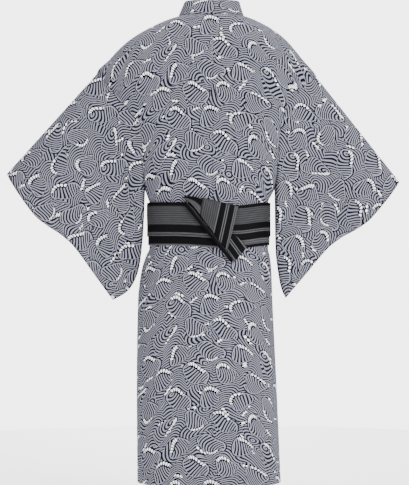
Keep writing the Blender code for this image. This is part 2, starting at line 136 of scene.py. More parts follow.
# Folds of the back's and the front's cloth, in millimetres: the large ones are those of the
# solids, the small ones are pulls at the armpits and creases above and below the belt.
FOLD_COLUMNS = "start_side start_height end_side end_height width depth"
BACK_FOLDS = table(
    FOLD_COLUMNS,
    (340, -655, 288, -790, 16, -10),
    (430, -500, 330, -640, 30, 7),
    (205, -350, 205, -540, 12, -8),
    (150, -300, 165, -520, 22, 5),
    (240, -300, 330, -520, 28, 6),
    (150, -735, 175, -1000, 20, 6),
    (105, -740, 120, -1180, 20, -5),
    (55, -760, 70, -1400, 30, 4),
    (-30, -800, -40, -1400, 26, -4),
    (-100, -740, -125, -1300, 26, 5),
    (-196, -360, -190, -560, 12, -7),
    (-140, -280, -150, -520, 20, 5),
    (-250, -300, -300, -620, 28, 6),
    (-420, -520, -300, -700, 26, -7),
    (196, -728, 180, -800, 6, -3),
    (183, -722, 168, -775, 5, 2.6),
    (165, -716, 158, -760, 5, -2.4),
    (120, -716, 124, -770, 6, 2),
    (85, -480, 92, -550, 8, -2.8),
    (120, -460, 112, -550, 9, 3),
    (-70, -490, -72, -550, 8, 2.4),
    (-110, -470, -105, -550, 8, -2.8),
    (-145, -716, -150, -800, 7, 2.4),
    (260, -270, 200, -330, 10, -3.4),
    (300, -330, 400, -430, 12, -3.4),
    (250, -400, 290, -620, 12, -4),
    (500, -470, 430, -590, 12, -3.4),
    (-230, -270, -175, -330, 10, -3.4),
    (-290, -330, -380, -450, 12, -3.4),
    (-235, -420, -250, -640, 12, -4),
    (-460, -520, -380, -620, 12, 3.4),
)
FRONT_FOLDS = table(
    FOLD_COLUMNS,
    (360, -600, 300, -780, 18, -8),
    (270, -300, 330, -560, 28, 6),
    (150, -290, 120, -530, 20, 6),
    (150, -740, 165, -1240, 24, 6),
    (85, -730, 105, -1400, 22, -5),
    (-20, -740, 10, -1320, 26, 5),
    (-85, -740, -60, -1200, 20, -4),
    (-150, -300, -130, -530, 20, 6),
    (-255, -320, -300, -580, 26, 6),
    (-400, -540, -290, -720, 24, -7),
    (110, -470, 104, -550, 8, -2.8),
    (-100, -480, -94, -550, 8, 2.8),
    (150, -716, 144, -790, 7, -2.4),
    (-140, -716, -136, -800, 7, 2.4),
    (260, -280, 200, -330, 10, -3.4),
    (330, -360, 430, -480, 12, -3.4),
    (-240, -280, -180, -330, 10, -3.4),
    (-310, -360, -390, -480, 12, -3.4),
)


class Curve:
    """Smooth curve through a table's points, level where the table turns."""

    def __init__(self, keys, values):
        order = np.argsort(keys)
        self.keys = np.asarray(keys, float)[order]
        self.values = np.asarray(values, float)[order]
        rise = np.diff(self.values) / np.diff(self.keys)
        self.slopes = np.zeros(len(self.keys))
        self.slopes[0] = rise[0]
        self.slopes[-1] = rise[-1]
        for i in range(1, len(rise)):
            if rise[i - 1] * rise[i] > 0:
                self.slopes[i] = 2 * rise[i - 1] * rise[i] / (rise[i - 1] + rise[i])

    def __call__(self, key):
        i = int(np.clip(np.searchsorted(self.keys, key) - 1, 0, len(self.keys) - 2))
        step = self.keys[i + 1] - self.keys[i]
        t = min(max((key - self.keys[i]) / step, 0.0), 1.0)
        start = self.values[i] * (1 + 2 * t) + self.slopes[i] * step * t
        end = self.values[i + 1] * (3 - 2 * t) + self.slopes[i + 1] * step * (t - 1)
        return float(start * (1 - t) ** 2 + end * t ** 2)


def column(rows, key, value):
    """Smooth curve of one named column of a table against another."""
    return Curve([getattr(row, key) for row in rows], [getattr(row, value) for row in rows])


half_left = column(BODY, "height", "left")
half_right = column(BODY, "height", "right")
depth_back = column(BODY, "height", "back")
depth_front = column(BODY, "height", "front")
armhole_side = {side: column(rows, "height", "side") for side, rows in ARMHOLES.items()}
collar_side = column(COLLAR_SEAM, "height", "side")
panel_side = column(PANEL_SEAM, "height", "side")


def ease(value):
    """0 to 1 with a level start and end."""
    value = min(max(value, 0.0), 1.0)
    return value * value * (3 - 2 * value)


def spread(first, last, steps):
    """Evenly spaced values from first to last."""
    return [first + (last - first) * i / steps for i in range(steps + 1)]


fold_sheets = {"back": np.array(BACK_FOLDS) / 1000, "front": np.array(FRONT_FOLDS) / 1000}


def fold_height(face, side, height):
    """How far the folds of one face move its cloth outwards at a place."""
    start_side, start_height, end_side, end_height, width, depth = fold_sheets[face].T
    run_side = end_side - start_side
    run_height = end_height - start_height
    length = np.hypot(run_side, run_height)
    away_side = side - start_side
    away_height = height - start_height
    along = (away_side * run_side + away_height * run_height) / length ** 2
    across = (away_side * run_height - away_height * run_side) / length
    rise = np.clip((along + 0.15) / 0.35, 0, 1)
    fall = np.clip((1.15 - along) / 0.35, 0, 1)
    fade = rise * rise * (3 - 2 * rise) * fall * fall * (3 - 2 * fall)
    return float(np.sum(depth * fade * np.exp(-(across / width) ** 2)))


def ring_point(height, turn, out=0.0):
    """Place on the body's form: turn 0 is the middle of the back, 90 the wearer's left side."""
    angle = math.radians(turn)
    s, c = math.sin(angle), math.cos(angle)
    half = half_left(height) if s > 0 else half_right(height)
    depth = depth_back(height) if c > 0 else depth_front(height)
    side = math.copysign(abs(s) ** (2 / ROUNDNESS), s)
    forward = math.copysign(abs(c) ** (2 / ROUNDNESS), c)
    crease = fold_height("back" if c > 0 else "front", side * half, height) * forward ** 2
    return Vector((side * (half + out), forward * (depth + out + crease), height))


def front_turn(side, height):
    """Turn at which the front of the body's form lies at a sideways place."""
    half = half_left(height) if side > 0 else half_right(height)
    share = min(abs(side) / half, 1.0) ** (ROUNDNESS / 2)
    return 180.0 - math.copysign(math.degrees(math.asin(share)), side)


def layer(side, turn, height):
    """Height of a front above the form: the wearer's left front laps, freer away from the belt."""
    if side < 0:
        return 0.0
    step = LAP_HEIGHT + LAP_FREE * ease((abs(height - WAIST_HEIGHT) - 0.100) / 0.12)
    return step * ease((turn - 95.0) / 20.0)


def turned(side, angle):
    """Turn of a place that lies an angle away from the middle of the back on one side."""
    return angle if side > 0 else 360.0 - angle


def armhole_turn(side, height):
    """Angle between the middle of the back and the armhole's edge, 90 above and below it."""
    if height >= ARMHOLES[side][0].height or height <= ARMHOLE_BOTTOM:
        return 90.0
    half = half_left(height) if side > 0 else half_right(height)
    share = min(armhole_side[side](height) / half, 1.0)
    return math.degrees(math.asin(share ** (ROUNDNESS / 2)))


def sleeve_alongs(steps):
    """Shares of the way down a sleeve from its top fold, closer together at the folds."""
    even = spread(0.0, 1.0, steps)
    return [0.4 * share + 0.6 * (0.5 - 0.5 * math.cos(math.pi * share)) for share in even]


def body_heights(side):
    """Heights of the rows of a body width, from the neck to the hem."""
    top = ARMHOLES[side][0].height
    shoulder = [top * share ** 1.6 for share in spread(0.0, 1.0, 20)]
    armhole = [top + (ARMHOLE_BOTTOM - top) * along for along in sleeve_alongs(36)]
    return shoulder + armhole[1:] + spread(ARMHOLE_BOTTOM, HEM_HEIGHT, 72)[1:]


def levels_to_hem(heights):
    """Each row's height and its distance out, with the hem turned in and up at the end."""
    turned_in = [(HEM_HEIGHT - 0.0008, 0.0), (HEM_HEIGHT, -0.0010), (HEM_HEIGHT + HEM_DEPTH, -0.0012)]
    return [(height, COTTON_OUT) for height in heights] + turned_in


def around(side, height, angle):
    """Length of cloth round the form from the middle of the back to an angle."""
    steps = max(int(angle / 6), 1)
    points = [ring_point(height, turned(side, turn)) for turn in spread(0.0, angle, steps)]
    return sum((b - a).length for a, b in zip(points, points[1:]))


ridge_height = {
    side: Curve([getattr(row, name) for row in BODY[:count]], [row.height for row in BODY[:count]])
    for side, name, count in ((1, "left", 7), (-1, "right", 8))
}
ridge_reach = {}
for side, rows in ((1, BODY[:7]), (-1, BODY[:8])):
    sides = [0.0] + [row.left if side > 0 else row.right for row in rows]
    levels = [0.0] + [row.height for row in rows]
    steps = [math.hypot(b - a, d - c) for a, b, c, d in zip(sides, sides[1:], levels, levels[1:])]
    ridge_reach[side] = Curve(sides, np.cumsum([0.0] + steps))


def flat_place(side, point, length, face):
    """Where a point of the body lies on the flat width of cloth, which is folded at the shoulder."""
    drop = max(ridge_height[side](abs(point.x)) - point.z, 0.0)
    down = (drop ** 1.4 + abs(point.y) ** 1.4) ** (1 / 1.4)
    below = ease((-0.10 - point.z) / 0.25)
    across = ridge_reach[side](abs(point.x)) * (1 - below) + length * below
    return side * across, -down if face == "back" else down


def seamed_turns(first, last, height, steps, seams):
    """Turns from one edge to the other, with a close pair of columns beside each seamed edge."""
    half = half_left(height) if first % 360 < 180 else half_right(height)
    near = math.degrees(BESIDE_SEAM / half)
    turns = spread(first, last, steps)
    way = 1 if last > first else -1
    if abs(last - first) < 3 * near:
        return turns
    if seams[0]:
        turns[1] = first + way * near
        turns[2] = first + way * 2.5 * near
    if seams[1]:
        turns[-2] = last - way * near
        turns[-3] = last - way * 2.5 * near
    return turns


def laid_rows(side, levels, ends, steps, face, seams=(True, True), shift=(0.0, 0.0)):
    """Rows of points, and of their places on the flat cloth, between two turns at each level."""
    points = []
    flats = []
    for height, out in levels:
        first, last = ends(height)
        turns = seamed_turns(first, last, height, steps, seams)
        row = []
        for i, turn in enumerate(turns):
            tuck = SEAM_TUCK if (i == 0 and seams[0]) or (i == steps and seams[1]) else 0.0
            row.append(ring_point(height, turn, layer(side, turn, height) + out - tuck))
        start = around(side, height, first if side > 0 else 360.0 - first)
        away = 1 if (last - first) * side >= 0 else -1
        if face == "front":
            start = 2 * around(side, height, 90.0) - start
            away = -away
        lengths = np.cumsum([0.0] + [(b - a).length for a, b in zip(row, row[1:])])
        places = [flat_place(side, point, start + away * float(length), face)
                  for point, length in zip(row, lengths)]
        points.append(row)
        flats.append([(u + shift[0], v + shift[1]) for u, v in places])
    return points, flats


def new_object(name, data):
    """Object in the scene that shows a mesh or another kind of data."""
    made = bpy.data.objects.new(name, data)
    bpy.context.scene.collection.objects.link(made)
    return made


def sew(name, sheets, thickness, material, flipped=False, outward=True):
    """One piece of cloth from its sheets of rows, joined where they meet, given a thickness."""
    work = bmesh.new()
    flat = work.loops.layers.uv.new("cloth")
    for points, flats in sheets:
        verts = [[work.verts.new(point) for point in row] for row in points]
        for r in range(len(verts) - 1):
            for c in range(len(verts[r]) - 1):
                places = [(r, c), (r, c + 1), (r + 1, c + 1), (r + 1, c)]
                if flipped:
                    places.reverse()
                face = work.faces.new([verts[i][j] for i, j in places])
                face.smooth = True
                for loop, (i, j) in zip(face.loops, places):
                    loop[flat].uv = flats[i][j]
    bmesh.ops.remove_doubles(work, verts=work.verts, dist=0.00002)
    mesh = bpy.data.meshes.new(name)
    work.to_mesh(mesh)
    work.free()
    mesh.materials.append(material)
    piece = new_object(name, mesh)
    wall = piece.modifiers.new("Cloth", "SOLIDIFY")
    wall.thickness = thickness
    wall.offset = 1.0 if outward else -1.0
    return piece


# The print is a repeat of curling waves, arranged for this robe over a sea of peaked ones. Each
# large wave is an oval of nested lines round a point near or past its edge, with a pale outline in
# a dark one and a crest of separate foam drops. Sizes are in millimetres and angles in degrees.
REPEAT = (380.0, 270.0)
WAVES = table(
    "across up long short tilt focus crest span line",
    (50, 238, 46, 28, 38, 0.95, 62, 46, 8.0),
    (150, 244, 38, 30, -15, -1.30, 118, 44, 7.6),
    (248, 232, 50, 27, 150, 0.90, -52, 44, 8.2),
    (340, 240, 40, 30, 8, 1.25, 66, 44, 7.6),
    (6, 172, 42, 27, -30, -0.75, 125, 40, 8.0),
    (100, 168, 52, 26, 42, 0.55, 48, 40, 8.4),
    (200, 176, 37, 31, 0, 1.40, -70, 46, 7.6),
    (290, 164, 46, 26, -26, 0.95, 58, 44, 8.0),
    (52, 102, 40, 30, 14, -1.20, -120, 44, 7.6),
    (148, 98, 48, 27, 145, 0.60, 50, 42, 8.2),
    (246, 104, 40, 29, -12, 1.10, 60, 44, 7.6),
    (344, 98, 50, 26, 34, 0.90, 56, 42, 8.2),
    (4, 34, 45, 27, 26, -0.85, -128, 42, 8.0),
    (98, 30, 38, 30, -20, 1.25, 55, 46, 7.6),
    (196, 38, 50, 26, 40, 0.55, 52, 40, 8.4),
    (292, 30, 40, 28, -8, -1.15, 122, 46, 7.8),
)
FOAM_DEPTH = 0.26
FOAM_DROP = 0.20
FOAM_GAP = 0.52
FOAM_DROPS = 12.0
OUTLINE = 1.08
PALE_RIM = 0.07
DARK_BEHIND_FOAM = 0.10
NARROW_END = 0.85
SHARPNESS = 2.2
BARE = 0.42
SEA_CELL = (76.0, 54.0)
SEA_LINE = 7.4
SEA_FAN_LINES = 8.2
SEA_FANS = 0.55
SEA_FOAM = 0.36
NAVY = (0.0020, 0.0021, 0.0075)
GROUND = (0.200, 0.200, 0.238)
FOAM = (0.80, 0.80, 0.84)


class Shade:
    """A value in a material: sums and products of values add their nodes."""

    def __init__(self, tree, socket):
        self.tree = tree
        self.socket = socket

    def make(self, kind, sockets, output=0, **settings):
        """Add any other node, set first and then joined to values or numbers."""
        node = self.tree.nodes.new(kind)
        for name, value in settings.items():
            setattr(node, name, value)
        for key, value in sockets.items():
            if isinstance(value, Shade):
                self.tree.links.new(value.socket, node.inputs[key])
            else:
                node.inputs[key].default_value = value
        return Shade(self.tree, node.outputs[output])

    def math(self, operation, *values, clamp=False):
        """A Math node on this value and others."""
        joined = dict(enumerate((self, *values)))
        return self.make("ShaderNodeMath", joined, operation=operation, use_clamp=clamp)

    def vector(self, operation, *values, output=0):
        """A Vector Math node on this value and others."""
        joined = dict(enumerate((self, *values)))
        return self.make("ShaderNodeVectorMath", joined, output, operation=operation)

    def beside(self, output):
        """Another output of the node that gives this value."""
        return Shade(self.tree, self.socket.node.outputs[output])

    def feed(self, node, socket):
        """Join this value to a socket of a node."""
        self.tree.links.new(self.socket, node.inputs[socket])

    def __add__(self, other):
        return self.math("ADD", other)

    __radd__ = __add__

    def __mul__(self, other):
        return self.math("MULTIPLY", other)

    __rmul__ = __mul__

    def __sub__(self, other):
        return self.math("SUBTRACT", other)

    def __rsub__(self, other):
        return self.math("MULTIPLY_ADD", -1.0, other)

    def __truediv__(self, other):
        return self.math("DIVIDE", other)

    def below(self, other):
        """1 where this value is less than another."""
        return self.math("LESS_THAN", other)

    def lines(self, sharpness, bare=0.5):
        """Soft stripes, one for each whole step of this value, and the share of them left bare."""
        wave = self.math("PINGPONG", 0.5)
        return wave.math("MULTIPLY_ADD", 2 * sharpness, 0.5 - sharpness * (1 - bare), clamp=True)

    def over(self, below, cover):
        """This value where cover is 1, and the one below elsewhere."""
        return self.make("ShaderNodeMix", {0: cover, 2: below, 3: self}, data_type="FLOAT")


def colour_mix(factor, first, second):
    """One colour turning into another."""
    return factor.make("ShaderNodeMix", {0: factor, 6: first, 7: second}, output=2, data_type="RGBA")


def new_material(name, roughness, shine=0.5):
    """Material with a plain shader, and a first value to work from."""
    made = bpy.data.materials.new(name)
    made.use_nodes = True
    shader = made.node_tree.nodes["Principled BSDF"]
    shader.inputs["Roughness"].default_value = roughness
    shader.inputs["Specular IOR Level"].default_value = shine
    return made, shader, Shade(made.node_tree, None)


def cloth_place(start):
    """Place on the flat cloth in millimetres, and its parts along the print and up it."""
    place = start.make("ShaderNodeUVMap", {}, uv_map="cloth").vector("MULTIPLY", (1000.0, 1000.0, 0.0))
    across = place.make("ShaderNodeSeparateXYZ", {0: place})
    return place, across, across.beside(1)


def small_sea(place):
    """Tone of the sea between the large waves: peaked lines in some cells, fans in others."""
    cells = place.vector("MULTIPLY", (1 / SEA_CELL[0], 1 / SEA_CELL[1], 0.0))
    scatter = place.make("ShaderNodeTexVoronoi", {"Vector": cells, "Scale": 1.0, "Randomness": 0.85},
                         voronoi_dimensions="2D")
    chance = scatter.beside("Color")
    away = cells.vector("SUBTRACT", scatter.beside("Position"))
    focus = chance.vector("MULTIPLY_ADD", (1.8, 1.8, 0.0), (-0.9, -0.9, 0.0))
    fans = away.vector("ADD", focus).vector("LENGTH", output=1) * SEA_FAN_LINES
    up = place.make("ShaderNodeSeparateXYZ", {0: place}).beside(1)
    pick = place.make("ShaderNodeSeparateColor", {0: chance})
    aside = place.make("ShaderNodeSeparateXYZ", {0: away})
    peaks = (aside * 3.6 + pick * 3.0).math("SINE").math("ABSOLUTE")
    slope = aside * (pick * 3.0 - 1.5)
    swell = up / SEA_LINE + peaks * -2.0 + slope
    drawn = swell.over(fans, pick.below(SEA_FANS))
    rings = drawn.lines(SHARPNESS, BARE)
    angle = aside.beside(1).math("ARCTAN2", aside)
    near = angle.math("COMPARE", pick * 6.2 - 3.1, 0.5)
    drops = (angle * 8.0).math("COSINE").math("ABSOLUTE")
    foam = scatter.math("COMPARE", SEA_FOAM, drops * 0.09 - 0.02) * near
    shade = scatter.math("COMPARE", SEA_FOAM, 0.10) * near
    return (rings * (1.0 - shade)).math("MAXIMUM", foam * 2.0)


def large_wave(place, wave, tone):
    """Draw one large wave, repeated over the cloth, over what is printed already."""
    half = (REPEAT[0] / 2, REPEAT[1] / 2, 1.0)
    low = (-half[0], -half[1], -1.0)
    away = place.vector("SUBTRACT", (wave.across, wave.up, 0.0)).vector("WRAP", half, low)
    tilt = math.radians(wave.tilt)
    along_axis = (math.cos(tilt) / wave.long, math.sin(tilt) / wave.long, 0.0)
    over_axis = (-math.sin(tilt) / wave.short, math.cos(tilt) / wave.short, 0.0)
    along = away.vector("DOT_PRODUCT", along_axis, output=1)
    over = away.vector("DOT_PRODUCT", over_axis, output=1)
    angle = over.math("ARCTAN2", along)
    reach = (along * along + over * over).math("SQRT")
    reach = reach / angle.math("MULTIPLY_ADD", 0.18 / math.pi, NARROW_END)
    from_focus = (along - wave.focus) * wave.long
    across_focus = over * wave.short
    nested = (from_focus * from_focus + across_focus * across_focus).math("SQRT") / wave.line
    near_crest = angle.math("COMPARE", math.radians(wave.crest), math.radians(wave.span))
    drops = (angle * FOAM_DROPS).math("COSINE").math("ABSOLUTE")
    depth = drops.math("MULTIPLY_ADD", FOAM_DROP, FOAM_DEPTH - FOAM_DROP)
    from_rim = 1.0 - reach
    foam = from_rim.below(depth) * near_crest * drops.math("GREATER_THAN", FOAM_GAP)
    shadow = from_rim.below(FOAM_DEPTH + DARK_BEHIND_FOAM) * near_crest
    rim = from_rim.below(PALE_RIM)
    drawn = nested.lines(SHARPNESS, BARE).math("MAXIMUM", rim) * (1.0 - shadow) + foam * 2.0
    drawn = drawn * reach.below(1.0)
    return drawn.over(tone, reach.below(OUTLINE))


def printed_cotton():
    """Off-white cotton printed with dark blue waves, read from each piece's flat cloth."""
    made, shader, start = new_material("printed_cotton", roughness=0.85, shine=0.05)
    place, across, up = cloth_place(start)
    turn_across = 2 * math.pi / REPEAT[0]
    turn_up = 2 * math.pi / REPEAT[1]
    sway = (across * (2 * turn_across) + up * (-3 * turn_up)).math("SINE") * 6.0
    lift = (across * (4 * turn_across) + up * (2 * turn_up)).math("SINE") * 5.0
    warp = place.make("ShaderNodeCombineXYZ", {0: sway, 1: lift})
    drawn_on = place.vector("ADD", warp)
    tone = small_sea(drawn_on)
    for wave in WAVES:
        tone = large_wave(drawn_on, wave, tone)

    worn = place.make("ShaderNodeTexNoise", {"Vector": place, "Scale": 0.012, "Detail": 3.0})
    ink = colour_mix(tone.math("MINIMUM", 1.0), (*NAVY, 1.0), (*GROUND, 1.0))
    paper = colour_mix((tone - 1.0).math("MAXIMUM", 0.0), ink, (*FOAM, 1.0))
    shade = worn.math("MULTIPLY_ADD", 0.16, 0.92)
    tint = shade.make("ShaderNodeCombineColor", {0: shade, 1: shade, 2: shade})
    paper = paper.make("ShaderNodeMix", {0: 1.0, 6: paper, 7: tint}, output=2, data_type="RGBA",
                       blend_type="MULTIPLY")
    paper.feed(shader, "Base Color")

    warp_threads = (across * 1.6).math("PINGPONG", 0.5)
    weft_threads = (up * 1.6).math("PINGPONG", 0.5)
    slub = place.make("ShaderNodeTexNoise", {"Vector": place, "Scale": 0.35, "Detail": 4.0})
    weave = warp_threads + weft_threads + slub * 1.4
    bump = weave.make("ShaderNodeBump", {"Strength": 0.35, "Distance": 0.0005, "Height": weave})
    bump.feed(shader, "Normal")
    return made


cotton = printed_cotton()

for side, name in ((1, "body_left"), (-1, "body_right")):

    def back_ends(height, side=side):
        """Turns of the middle seam and of the side or armhole."""
        first = math.degrees((SEAM_GAP / half_left(height)) ** (ROUNDNESS / 2))
        return turned(side, first), turned(side, armhole_turn(side, height))

    def front_ends(height, side=side):
        """Turns of the side or armhole and of the front edge."""
        start = turned(side, 180.0 - armhole_turn(side, height))
        line = collar_side if height > PANEL_SEAM[0].height else panel_side
        end = front_turn(side * (line(height) + SEAM_GAP), height) if height < 0 else start
        return start, end

    corner = ARMHOLES[side][0].height
    upper = [(height, COTTON_OUT) for height in body_heights(side) if height >= corner]
    lower = [height for height in body_heights(side) if height <= corner]
    sheets = [
        laid_rows(side, upper, back_ends, 44, "back", (True, False)),
        laid_rows(side, levels_to_hem(lower), back_ends, 44, "back", (True, True)),
        laid_rows(side, upper, front_ends, 40, "front", (False, True)),
        laid_rows(side, levels_to_hem(lower), front_ends, 40, "front", (True, True)),
    ]
    body = sew(f"{name}_cloth", sheets, COTTON_THICKNESS, cotton, flipped=side < 0)
    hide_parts(name)
    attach(body, "root")

# Overlap panels. A half-width strip is sewn to each front edge; the left one laps over the right.
PANEL_ON_PRINT = (0.13, 0.07)
for side, name in ((1, "overlap_panel_left"), (-1, "overlap_panel_right")):

    def panel_ends(height, side=side):
        """Turns of the seam with the body width and of the panel's front edge."""
        inner = front_turn(side * (panel_side(height) - SEAM_GAP), height)
        outer = front_turn(side * (collar_side(height) + SEAM_GAP), height)
        return inner, outer

    levels = levels_to_hem([-0.222] + [height for height in body_heights(side) if height < -0.228])
    sheets = [laid_rows(side, levels, panel_ends, 14, "front", (True, False), PANEL_ON_PRINT)]
    panel = sew(f"{name}_cloth", sheets, COTTON_THICKNESS, cotton, flipped=side < 0)
    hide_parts(name)
    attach(panel, "root")

# Collar. One long band of the same cotton, folded double and pressed, stands round the back of
# the neck and runs flat down both fronts.
COLLAR_FORM = 0.003
COLLAR_WIDTH = 0.055
COLLAR_THICKNESS = 0.0024
COLLAR_TOP = (0.082, 0.052, 0.045)
COLLAR_LIES_FROM = -0.12
COLLAR_END = -0.86
COLLAR_ROWS_ACROSS = 10
NECK_EDGE = table(
    "seam_height side front height",
    (0.000, 0.082, 0.000, 0.045),
    (-0.030, 0.070, 0.033, 0.020),
    (-0.060, 0.051, 0.055, -0.018),
    (-0.090, 0.030, 0.072, -0.063),
    (-0.130, 0.003, 0.091, -0.130),
)
edge_side = column(NECK_EDGE, "seam_height", "side")
edge_front = column(NECK_EDGE, "seam_height", "front")
edge_height = column(NECK_EDGE, "seam_height", "height")


def standing_rows(side):
    """Rows of the collar round one half of the back of the neck."""
    rows = []
    for angle in spread(0.0, 90.0, 24):
        seam = ring_point(0.0, turned(side, angle), -COLLAR_FORM)
        seam.z += 0.0008
        share_of_neck = (COLLAR_TOP[0] / BODY[0].left, COLLAR_TOP[1] / BODY[0].back)
        top = Vector((seam.x * share_of_neck[0], seam.y * share_of_neck[1], COLLAR_TOP[2]))
        rows.append([seam.lerp(top, share) for share in spread(0.0, 1.0, COLLAR_ROWS_ACROSS)])
    return rows


def neck_rows(side):
    """Rows of the collar from the side of the neck to the chest."""
    rows = []
    for height in body_heights(side):
        if not COLLAR_LIES_FROM < height < 0:
            continue
        turn = front_turn(side * (collar_side(height) - SEAM_GAP), height)
        seam = ring_point(height, turn, layer(side, turn, height))
        inside = COLLAR_FORM * (1 - ease(height / NECK_EDGE[-1].seam_height * 0.85))
        seam -= Vector((seam.x, seam.y, 0.0)).normalized() * inside
        over = layer(side, 180.0, height) * ease(height / NECK_EDGE[-1].seam_height)
        edge = Vector((side * edge_side(height), -edge_front(height) - over, edge_height(height)))
        rows.append([seam.lerp(edge, share) for share in spread(0.0, 1.0, COLLAR_ROWS_ACROSS)])
    return rows


def chest_rows(side):
    """Rows of the collar that lie on the front, down to its end."""
    heights = [height for height in body_heights(side) if COLLAR_END < height <= COLLAR_LIES_FROM]
    rows = []
    for height in heights + [COLLAR_END]:
        slant = (collar_side(height + 0.01) - collar_side(height - 0.01)) / 0.02
        width = COLLAR_WIDTH * math.hypot(1.0, slant)
        width *= 1.0 - 0.65 * ease(1 - (height - COLLAR_END) / 0.10)
        inner = collar_side(height) - SEAM_GAP
        turns = spread(front_turn(side * inner, height), front_turn(side * (inner - width), height),
                       COLLAR_ROWS_ACROSS)
        rows.append([ring_point(height, turn, layer(side, turn, height)) for turn in turns])
    return rows


collar_left = standing_rows(1) + neck_rows(1) + chest_rows(1)
collar_right = standing_rows(-1)[1:] + neck_rows(-1) + chest_rows(-1)
collar_points = collar_left[::-1] + collar_right
lengths = [0.0]
for upper, lower in zip(collar_points, collar_points[1:]):
    lengths.append(lengths[-1] + (upper[5] - lower[5]).length)
collar_across = spread(0.0, COLLAR_WIDTH, COLLAR_ROWS_ACROSS)
collar_flats = [[(length, across) for across in collar_across] for length in lengths]
collar = sew("collar_cloth", [(collar_points, collar_flats)], COLLAR_THICKNESS, cotton, flipped=True)
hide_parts("collar")
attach(collar, "root")

# Sleeves. Each is one width of cotton folded over the arm, sewn to the armhole and closed under
# the cuff; the arm fills its top and the lower part hangs flat.
ARM_DIRECTION = (0.9, -0.43)
SLEEVE_ON_PRINT = 0.40
SLEEVE_INNER = {
    1: table(
        "reach side height",
        (0.00, 0.2035, -0.520),
        (0.20, 0.2060, -0.620),
        (0.36, 0.2120, -0.700),
        (0.52, 0.2230, -0.768),
        (0.76, 0.2540, -0.827),
        (1.00, 0.2990, -0.855),
    ),
    -1: table(
        "reach side height",
        (0.00, 0.1905, -0.520),
        (0.20, 0.1910, -0.620),
        (0.40, 0.1925, -0.704),
        (0.62, 0.1990, -0.765),
        (0.82, 0.2080, -0.815),
        (1.00, 0.2220, -0.849),
    ),
}
WRIST = {1: (0.620, -0.474), -1: (0.566, -0.498)}
CUFF = table(
    "along jog half_open",
    (0.00, 0.000, 0.016),
    (0.05, 0.003, 0.034),
    (0.15, 0.009, 0.046),
    (0.30, 0.014, 0.044),
    (0.40, 0.006, 0.030),
    (0.50, -0.008, 0.013),
    (0.60, -0.014, 0.008),
    (0.80, -0.007, 0.007),
    (1.00, 0.000, 0.006),
)
SLEEVE_DEPTH = table(
    "along half_depth",
    (0.00, 0.030),
    (0.08, 0.052),
    (0.20, 0.058),
    (0.45, 0.036),
    (0.75, 0.022),
    (1.00, 0.007),
)
inner_side = {side: column(rows, "reach", "side") for side, rows in SLEEVE_INNER.items()}
inner_height = {side: column(rows, "reach", "height") for side, rows in SLEEVE_INNER.items()}
cuff_jog = column(CUFF, "along", "jog")
cuff_open = column(CUFF, "along", "half_open")
sleeve_depth = column(SLEEVE_DEPTH, "along", "half_depth")


def armhole_point(side, height, face):
    """Outer face of the body's cloth at the armhole."""
    angle = armhole_turn(side, height)
    turn = turned(side, angle if face == "back" else 180.0 - angle)
    here = ring_point(height, turn, layer(side, turn, height))
    beside = ring_point(height, turn + 1.0, layer(side, turn + 1.0, height)) - here
    below = ring_point(height - 0.004, turn, layer(side, turn, height)) - here
    outward = beside.cross(below).normalized()
    away = Vector((side * ARM_DIRECTION[0], 0.0, ARM_DIRECTION[1]))
    return here + outward * COTTON_THICKNESS + away * 2 * SEAM_GAP


def rounded(share, reach):
    """0 at a fold's edge, rising as a quarter circle to 1 at its reach."""
    return math.sqrt(1 - (1 - min(share / reach, 1.0)) ** 2)


def sleeve_point(side, reach, along, face, root):
    """Place on a sleeve, reach from armhole to cuff and along from the top fold to the lower."""
    corner = Vector((inner_side[side](1.0), inner_height[side](1.0)))
    wrist = Vector(WRIST[side])
    edge = corner - wrist
    outward = Vector((-edge.y, edge.x)).normalized()
    cuff = wrist + edge * along + outward * cuff_jog(along)
    flat = Vector((abs(root.x), root.z)).lerp(cuff, reach)
    below = Vector((inner_side[side](0.0), inner_height[side](0.0))).lerp(corner, reach)
    flat += (Vector((inner_side[side](reach), inner_height[side](reach))) - below) * along ** 2
    near_cuff = ease(reach * 2 - 1)
    depth = sleeve_depth(along) * (1 - near_cuff) + cuff_open(along) * near_cuff
    depth *= rounded(along, 0.06) * rounded(1 - along, 0.03)
    swell = min(depth / 0.02, 1.0) * ease(reach / 0.25)
    depth += fold_height(face, side * flat.x, flat.y) * swell
    away = depth if face == "back" else -depth
    from_root = ease(reach / 0.45)
    return Vector((side * flat.x, away * from_root + root.y * (1 - from_root), flat.y))


def sleeve_sheet(side, face):
    """Rows of the back or the front of a sleeve, with the cuff's hem turned in."""
    top = ARMHOLES[side][0].height
    facing = 1 if face == "back" else -1
    alongs = sleeve_alongs(48)
    if face == "front":
        alongs = alongs[::-1]
    roots = [armhole_point(side, top + (ARMHOLE_BOTTOM - top) * along, face) for along in alongs]
    shoulder = Vector((ARMHOLES[side][0].side, top))
    arm = (Vector(WRIST[side]) - shoulder).normalized()
    points = []
    flats = []
    for reach in [0.0, 0.006, 0.016] + spread(0.04, 1.0, 40):
        row = [sleeve_point(side, reach, along, face, root) for along, root in zip(alongs, roots)]
        points.append(row)
        places = [Vector((abs(point.x), point.z)) - shoulder for point in row]
        along_arm = [side * (SLEEVE_ON_PRINT + place.dot(arm)) for place in places]
        across_arm = [-facing * abs(arm.y * place.x - arm.x * place.y) for place in places]
        flats.append(list(zip(along_arm, across_arm)))
    beside, turned_from = points[-3:-1]
    flat_from = flats[-2]
    for inward, deep in ((0.0, 0.0012), (0.016, 0.0016)):
        row = []
        for point, back in zip(turned_from, beside):
            away = (back - point).normalized()
            across = Vector((0.0, -facing, 0.0))
            room = min(deep, abs(point.y) * 0.5)
            row.append(point + away * inward + across * room)
        points.append(row)
        flats.append([(u + side * (inward + 0.001), v) for u, v in flat_from])
    return points, flats


